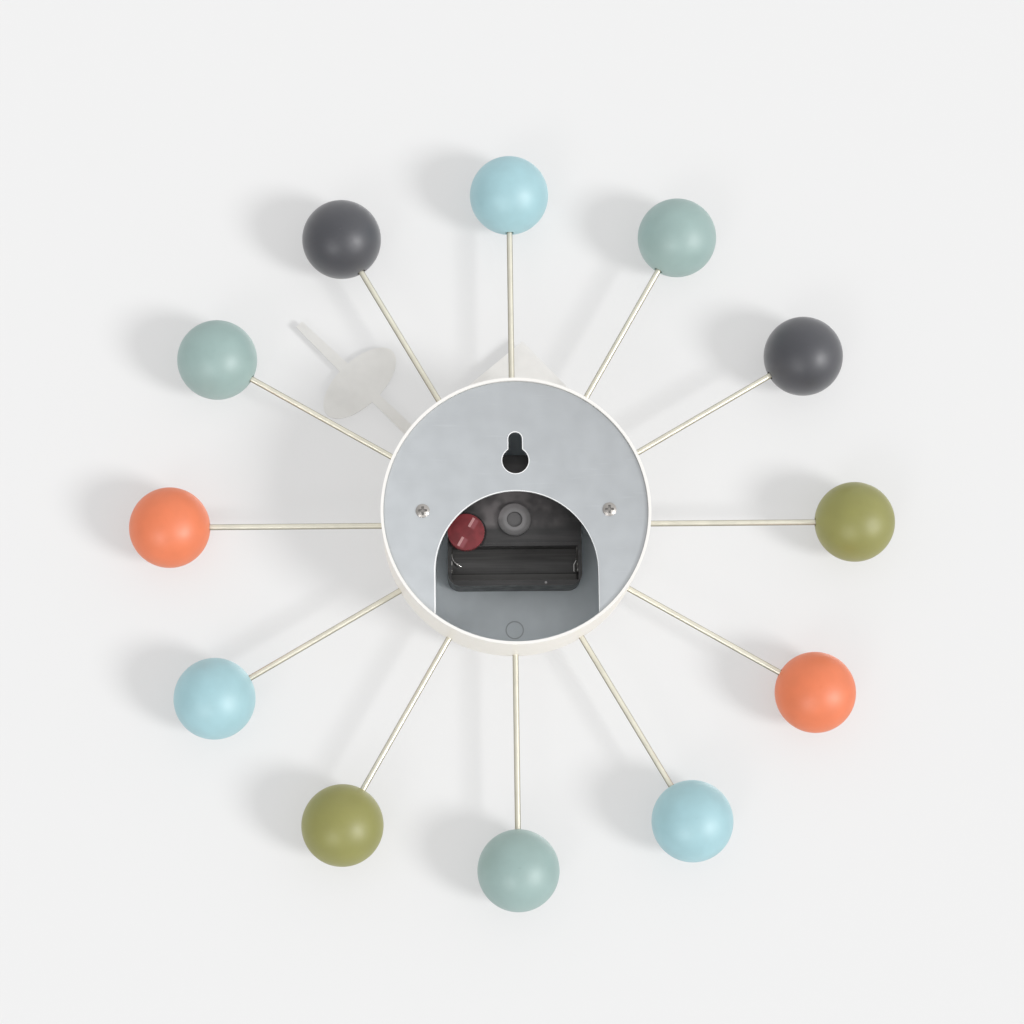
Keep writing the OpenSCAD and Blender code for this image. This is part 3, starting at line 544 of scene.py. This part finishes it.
def knob_red(colour, slope):
    """Dark red moulding, darkened between its ribs by painted shade and paler beside its marks as
    painted light on the slopes.
    """
    finish = Finish("knob_red")
    clouded = finish.mottled(colour, size=3.5 * MM, share=0.16)
    lengthwise, crosswise = (
        finish.math("SUBTRACT", finish.along(direction), direction.dot(knob_centre))
        for direction in (knob_mark_along, knob_mark_across))
    start, end = knob_mark_at - knob_mark_len / 2, knob_mark_at + knob_mark_len / 2
    # Painted light: a paler band on one side of each mark, where its slope catches the light.
    beside = finish.math(
        "MULTIPLY",
        finish.band(finish.unsigned(lengthwise), start, end, soft=knob_slope_soft),
        finish.band(crosswise, -knob_slope_w, 0, soft=knob_slope_soft))
    painted_lit_slope = finish.tint(beside, clouded, slope)
    # Painted shade: the gaps between the ribs are painted darker.
    rib_shade = finish.tint(finish.crevices(reach=0.8 * MM), painted_lit_slope, shaded(colour, 0.3))
    finish.feed("Base Color", rib_shade)
    finish.uneven(size=2 * MM, low=0.34, high=0.46)
    finish.grain(size=0.8 * MM, depth=0.008 * MM)
    return finish.material


def winding_copper(colour):
    """Enamelled wire in fine turns across the coil."""
    finish = Finish("winding_copper", metallic=0.8)
    inputs = {"Vector": finish.place(), "Scale": 1 / (1.2 * MM), "Distortion": 0.4}
    turns = finish.add("ShaderNodeTexWave", inputs, bands_direction="X").outputs["Fac"]
    finish.feed("Base Color", finish.tint(turns, shaded(colour, 0.6), colour))
    finish.feed("Roughness", finish.spread(turns, 0.45, 0.3, start=0, end=1))
    finish.relief(turns, depth=0.03 * MM)
    return finish.material


def hand_lacquer(name, colour):
    """Lacquered sheet with a faint sheen of wear, its cut edges painted darker as painted shade."""
    finish = Finish(name)
    clouded = finish.mottled(colour, size=5 * MM, share=0.015)
    # Painted shade: the cut edges are painted darker.
    finish.feed("Base Color", finish.tint(finish.edges("Y"), clouded, shaded(colour, 0.62)))
    finish.uneven(size=4 * MM, low=0.42, high=0.5)
    finish.grain(size=1.8 * MM, depth=0.004 * MM)
    return finish.material


# Finishes by name, which is the record's material slot where a node wears it
finishes = {
    # The rim colour is a painted highlight
    "case_paint": case_paint(
        outside=linear(250, 245, 236), rim=linear(252, 250, 246), inside=linear(222, 228, 231)),
    "plate_zinc": plate_zinc(linear(192, 196, 199)),
    # Near-white lips: a painted highlight on the lit punched edges
    "lip_highlight": plain_finish(
        "lip_highlight", linear(250, 251, 251),
        patch=6 * MM, rough=0.35, grain=0.8 * MM, depth=0.003 * MM),
    "screw_steel": drawn_metal("screw_steel", linear(172, 168, 164), rough=0.42, metallic=0.8),
    "rod_champagne": rod_plating(bright=linear(230, 226, 210), painted_shade=linear(142, 134, 114)),
    "ball_light_blue": ball_paint("ball_light_blue", linear(167, 208, 216), sheen=0.08),
    "ball_sage": ball_paint("ball_sage", linear(156, 182, 178), sheen=0.1),
    "ball_dark_grey": ball_paint("ball_dark_grey", linear(57, 58, 65), sheen=0.36),
    "ball_olive": ball_paint("ball_olive", linear(147, 145, 74), sheen=0.1),
    "ball_orange": ball_paint("ball_orange", linear(240, 127, 80), sheen=0.04),
    # The pale colour serves the movement's dust streaks and its painted light patch
    "movement_black": movement_black(
        linear(56, 55, 55), dust_and_lit_patch=linear(118, 113, 113), boss=linear(142, 140, 140)),
    # Lighter than the movement's black: painted light deep in the bay
    "trough_black": trough_black(linear(89, 88, 87)),
    "knob_mark": hand_lacquer("knob_mark", linear(222, 166, 166)),
    "gasket_rubber": plain_finish(
        "gasket_rubber", linear(38, 38, 38),
        patch=3 * MM, rough=0.8, grain=0.3 * MM, depth=0.02 * MM),
    "brass": drawn_metal("brass", linear(220, 190, 120), rough=0.3),
    "board_green": plain_finish(
        "board_green", linear(40, 100, 62),
        patch=2 * MM, rough=0.4, grain=0.4 * MM, depth=0.01 * MM),
    "wheel_white": plain_finish(
        "wheel_white", linear(228, 226, 220),
        patch=2 * MM, rough=0.45, grain=0.3 * MM, depth=0.005 * MM),
    "winding_copper": winding_copper(linear(200, 112, 66)),
    # The slope colour is painted light
    "knob_red": knob_red(linear(140, 52, 57), slope=linear(168, 90, 96)),
    # The bright colour serves the rubbed patches and the arm's painted highlight; the dark colour
    # is painted shade
    "contact_spring": contact_spring(worn=linear(215, 214, 210), painted_shade=linear(88, 86, 84)),
    "wire_bright": drawn_metal("wire_bright", linear(226, 225, 222), rough=0.28),
    "hand_white": hand_lacquer("hand_white", linear(244, 243, 241)),
    "hand_grey": hand_lacquer("hand_grey", linear(226, 225, 222)),
}


def dress_nodes():
    """Gives every node of the frame the finish of its material slot."""
    for part in frame["record"]["subparts"]:
        mesh = frame["nodes"][part["node"]].data
        mesh.materials.clear()
        mesh.materials.append(finishes[part["material_slot"]])


def round_edges(node, radius):
    """Rounds a node's sharp edges, after its flat faces are joined."""
    piece = frame["nodes"][node]
    flat = piece.modifiers.new("flat_faces", "DECIMATE")
    flat.decimate_type = "DISSOLVE"
    flat.angle_limit = flat_angle
    bevel = piece.modifiers.new("rounded_edges", "BEVEL")
    bevel.width = radius
    bevel.segments = edge_segments
    bevel.limit_method = "ANGLE"
    bevel.angle_limit = sharp_angle
    piece.modifiers.new("even_shading", "WEIGHTED_NORMAL")


def mesh_piece(name, points, faces, finish, body):
    """A piece built from its points and faces, which rides a body of the frame."""
    mesh = bpy.data.meshes.new(name)
    mesh.from_pydata([tuple(point) for point in points], [], faces)
    solid = bmesh.new()
    solid.from_mesh(mesh)
    bmesh.ops.recalc_face_normals(solid, faces=solid.faces)
    solid.to_mesh(mesh)
    solid.free()
    mesh.materials.append(finish)
    piece = bpy.data.objects.new(name, mesh)
    bpy.context.scene.collection.objects.link(piece)
    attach(piece, body)
    return piece


def prism(name, outline, along, finish, body):
    """A solid swept from an outline of points by a vector."""
    count = len(outline)
    points = list(outline) + [point + along for point in outline]
    sides = [
        (i, (i + 1) % count, count + (i + 1) % count, count + i) for i in range(count)]
    ends = [tuple(reversed(range(count))), tuple(range(count, 2 * count))]
    return mesh_piece(name, points, sides + ends, finish, body)


def arc(centre, radius, start, end, steps):
    """Points on an arc in the plate's plane.

    The angles are in degrees from the clock's right, seen from the front.
    """
    angles = [math.radians(start + (end - start) * i / steps) for i in range(steps + 1)]
    return [centre + Vector((math.cos(a), 0, math.sin(a))) * radius for a in angles]


def ribbon(name, path, section, closed, finish, share=1.0):
    """A thin bar along a path in the plate's plane, on the clock's root.

    The section's points are steps outwards and up. The width grows from a share of the
    section's at the start to the whole.
    """
    count = len(path)
    points = []
    for i, place in enumerate(path):
        width = share + (1 - share) * i / (count - 1)
        before = path[i - 1] if closed or i > 0 else place
        after = path[(i + 1) % count] if closed or i < count - 1 else place
        heading = (after - before).normalized()
        outwards = Vector((-heading.z, 0, heading.x))
        points += [place + outwards * out * width + Vector((0, up, 0)) for out, up in section]
    size = len(section)
    spans = [(i * size, (i + 1) % count * size) for i in range(count if closed else count - 1)]
    faces = [
        (here + j, here + (j + 1) % size, there + (j + 1) % size, there + j)
        for here, there in spans for j in range(size)
    ]
    if not closed:
        faces += [tuple(range(size)), tuple(range((count - 1) * size, count * size))]
    return mesh_piece(name, points, faces, finish, "root")


def lip_section(width):
    """Section of a pale lip on a punched edge, painted as a highlight, from inside the opening to
    the plate's face.
    """
    return [
        (-lip_h, -lip_depth), (-lip_h, lip_h / 2), (0, lip_h), (width, lip_h), (width, -lip_h)]


def lip_highlights():
    """Pale lips round the keyhole and along the arched opening: a painted highlight on the lit
    punched edges.
    """
    face = Vector((0, plate_high.y, 0))
    throat = math.degrees(math.acos(slot_r / keyhole_r))
    entry = arc(face, keyhole_r, throat, -180 - throat, steps=36)
    slot = arc(face + Vector((0, 0, slot_rise)), slot_r, 180, 0, steps=18)
    ribbon("keyhole_highlight", entry + slot, lip_section(keyhole_highlight_w), True, finishes["lip_highlight"])
    spring = face + Vector((0, 0, dial_centre.z + arch_rise - arch_r))
    foot = dial_centre.z - math.sqrt((case_r - sheet_t) ** 2 - arch_r ** 2) + arch_highlight_w
    start, end = (face + Vector((side * arch_r, 0, foot)) for side in (-1, 1))
    arch = [start] + arc(spring, arch_r, 180, 0, steps=64) + [end]
    # The arch's painted highlight narrows towards its start, where less light catches the edge
    ribbon(
        "arch_highlight", arch, lip_section(arch_highlight_w), False, finishes["lip_highlight"], arch_highlight_share)


def plate_bead():
    """Bead of paint between the plate's edge and its seat."""
    open_half = math.degrees(math.asin(arch_r / plate_r))
    seat = arc(dial_centre, plate_r - hair, open_half - 90, 270 - open_half, steps=128)
    path = [Vector((point.x, plate_high.y - bead_drop, point.z)) for point in seat]
    section = [(-bead_w, 0), (0, 0), (0, -bead_h), (-bead_w, -bead_h)]
    ribbon("plate_bead", path, section, False, finishes["plate_zinc"])


def cell_trough():
    """Fills the lower corners of the battery bay, which leaves a round trough for the cell."""
    trough_r = bay_width / 2
    steps = 32
    axis_level = shell_high.y - trough_r
    axis_height = shell_low.z + bay_wall + trough_r
    reach = trough_r - hair
    floor = reach - hair
    start = Vector((-bay_length / 2 + hair, 0, 0))
    angles = [math.radians(180 * i / steps - 90) for i in range(1, steps)]
    curve = [(trough_r * math.sin(a), trough_r * math.cos(a)) for a in angles]
    inner = [(max(-reach, min(out, reach)), min(down, floor)) for out, down in curve]
    outline = [(-reach, reach)] + inner + [(reach, reach)]
    points = [start + Vector((0, axis_level - down, axis_height + out)) for out, down in outline]
    along = Vector((bay_length - 2 * hair, 0, 0))
    trough = prism("cell_trough", points, along, finishes["trough_black"], "root")
    trough.data.shade_smooth()
    trough.data.set_sharp_from_angle(angle=sharp_angle)


def round_wire(name, path, radius):
    """A round bright wire along a path in the plate's plane."""
    steps = 8
    angles = [2 * math.pi * i / steps for i in range(steps)]
    section = [(radius * math.cos(a), radius * math.sin(a)) for a in angles]
    wire = ribbon(name, path, section, False, finishes["wire_bright"])
    wire.data.shade_smooth()


def contact_wire():
    """Bright wire along the back edge of the sprung arm, which reaches on into the bay."""
    spring_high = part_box("contact_negative")[1]
    centre_height = shell_low.z + bay_wall + bay_width - spring_drop
    centre = Vector((spring_high.x - spring_r, spring_high.y, centre_height))
    path = [centre + Vector((spring_r - wire_r, 0, wire_rise))]
    path += arc(centre, spring_r - wire_r, 0, -spring_turn, steps=12)
    heading = (path[-1] - path[-2]).normalized()
    path.append(path[-1] + heading * wire_reach)
    round_wire("contact_wire", path, wire_r)


def contact_tab():
    """Bright tab that bulges into the bay from the positive contact's strip."""
    strip_low, strip_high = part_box("contact_positive")
    steps = 12
    path = []
    for i in range(steps + 1):
        share = i / steps
        bulge = tab_bulge * math.sin(math.pi / 2 * min(1, 2 * share))
        place = (strip_high.x + bulge, strip_high.y, strip_low.z + tab_len * (1 - share))
        path.append(Vector(place))
    round_wire("contact_tab", path, tab_r)


def knob_marks():
    """Two pale marks in the knob's grooves."""
    top = Vector((knob_centre.x, knob_high.y + knob_mark_proud, knob_centre.z))
    down = Vector((0, -knob_mark_deep, 0))
    half_length = knob_mark_along * knob_mark_len / 2
    half_width = knob_mark_across * knob_mark_w / 2
    corners = [(-1, -1), (1, -1), (1, 1), (-1, 1)]
    for side, name in ((-1, "knob_mark_low"), (1, "knob_mark_high")):
        middle = top + knob_mark_along * knob_mark_at * side
        outline = [middle + half_length * a + half_width * b for a, b in corners]
        prism(name, outline, down, finishes["knob_mark"], "knob")


def floor_paper():
    """Pale paper that shows from the back only and lets light through to the clock's face.

    To the camera a share of its brightness is its own, and mirrors see it pale.
    """
    own_share = 0.46
    later_share = 0.55
    finish = Finish("floor_paper", roughness=0.8, specular_ior_level=0.0)
    path = finish.light_path()
    paper = finish.mottled(linear(242, 242, 242), size=90 * MM, share=0.008)
    lit = finish.tint(path["Is Camera Ray"], paper, linear(210, 210, 210))
    finish.feed("Base Color", lit)
    white = finish.glow(linear(242, 242, 242), strength=1.0)
    share = finish.math("MULTIPLY", path["Is Camera Ray"], own_share)
    seen = finish.mix_shader(share, finish.shader.outputs[0], white)
    pale = finish.glow(linear(241, 241, 241), strength=0.9)
    top = finish.mix_shader(path["Is Glossy Ray"], seen, pale)
    steps = finish.math("ADD", path["Diffuse Depth"], path["Is Shadow Ray"])
    soft_light = finish.math("MAXIMUM", path["Is Diffuse Ray"], path["Is Shadow Ray"])
    passing = finish.spread(steps, 1, later_share, start=1, end=2)
    let_through = finish.math("MULTIPLY", soft_light, passing)
    behind = finish.add("ShaderNodeNewGeometry", {}).outputs["Backfacing"]
    clear = finish.add("ShaderNodeBsdfTransparent", {}).outputs[0]
    choice = finish.mix_shader(finish.math("MAXIMUM", behind, let_through), top, clear)
    finish.links.new(choice, finish.nodes["Material Output"].inputs["Surface"])
    return finish.material


def stage_floor():
    """A pale sheet under the clock's face."""
    half = 8.0
    low = cad_box[0].y
    mesh = bpy.data.meshes.new("floor")
    corners = [(-half, low, -half), (-half, low, half), (half, low, half), (half, low, -half)]
    mesh.from_pydata(corners, [], [(0, 1, 2, 3)])
    mesh.materials.append(floor_paper())
    floor = bpy.data.objects.new("floor", mesh)
    bpy.context.scene.collection.objects.link(floor)
    return floor


def sun_lamp(name, direction, width, strength):
    """A distant lamp seen in a direction, as wide as an angle in degrees."""
    data = bpy.data.lights.new(name, "SUN")
    data.angle = math.radians(width)
    data.energy = strength
    lamp = bpy.data.objects.new(name, data)
    lamp.rotation_mode = "QUATERNION"
    lamp.rotation_quaternion = (-Vector(direction)).to_track_quat("-Z", "Y")
    bpy.context.scene.collection.objects.link(lamp)
    return lamp


def light_stage(floor):
    """A soft key from the photo's right, a weaker lamp from its lower left, and their glints.

    One more lamp lights the clock's face. A further one at the key's place falls on the floor
    alone and sets the depth of the shadows there.
    """
    sun_lamp("key", key_place, width=16, strength=0.8)
    floor_key = sun_lamp("floor_key", key_place, width=16, strength=1.75)
    floor_key.data.cycles.max_bounces = 0
    floor_alone = bpy.data.collections.new("floor_alone")
    floor_alone.objects.link(floor)
    floor_key.light_linking.receiver_collection = floor_alone
    key_glint = sun_lamp("key_glint", key_place, width=24, strength=1.15)
    key_glint.visible_diffuse = False
    sun_lamp("second", second_place, width=20, strength=0.36)
    second_glint = sun_lamp("second_glint", second_place, width=26, strength=0.4)
    second_glint.visible_diffuse = False
    front = sun_lamp("front", front_place, width=20, strength=0.6)
    front.data.cycles.max_bounces = 0


def light_surround():
    """A pale surround, a little brighter from the photo's right.

    Mirrors see it brighter from the photo's upper right, and the camera sees it plain.
    """
    seen_strength = 0.9
    world = bpy.data.worlds.new("surround")
    world.use_nodes = True
    maker = NodeMaker(world.node_tree)
    path = maker.light_path()
    ray = maker.add("ShaderNodeTexCoord", {}).outputs["Generated"]
    light = maker.spread(maker.dot(ray, (-1, 0, 0)), 0.66, 0.92, start=-1, end=1)
    mirrored = maker.spread(maker.dot(ray, (-0.7, 0, 0.7)), 0.35, 1.2, start=-1, end=1)
    soft = maker.between(path["Is Glossy Ray"], light, mirrored)
    strength = maker.between(path["Is Camera Ray"], soft, seen_strength)
    background = maker.nodes["Background"]
    background.inputs["Color"].default_value = (1, 1, 1, 1)
    maker.links.new(strength, background.inputs["Strength"])
    bpy.context.scene.world = world


def place_camera():
    """Puts the camera where the photograph was taken."""
    data = bpy.data.cameras.new("camera")
    data.lens = camera_lens
    camera = bpy.data.objects.new("camera", data)
    camera.location = camera_place
    camera.rotation_mode = "QUATERNION"
    aimed = (camera_aim - camera_place).to_track_quat("-Z", "Y")
    camera.rotation_quaternion = aimed @ Quaternion((0, 0, 1), camera_roll)
    bpy.context.scene.collection.objects.link(camera)
    bpy.context.scene.camera = camera


dress_nodes()
for rounded_node, rounding in edge_radius.items():
    round_edges(rounded_node, rounding)
lip_highlights()
plate_bead()
cell_trough()
contact_wire()
contact_tab()
knob_marks()
light_stage(stage_floor())
light_surround()
place_camera()
bpy.context.scene.view_settings.view_transform = "Standard"
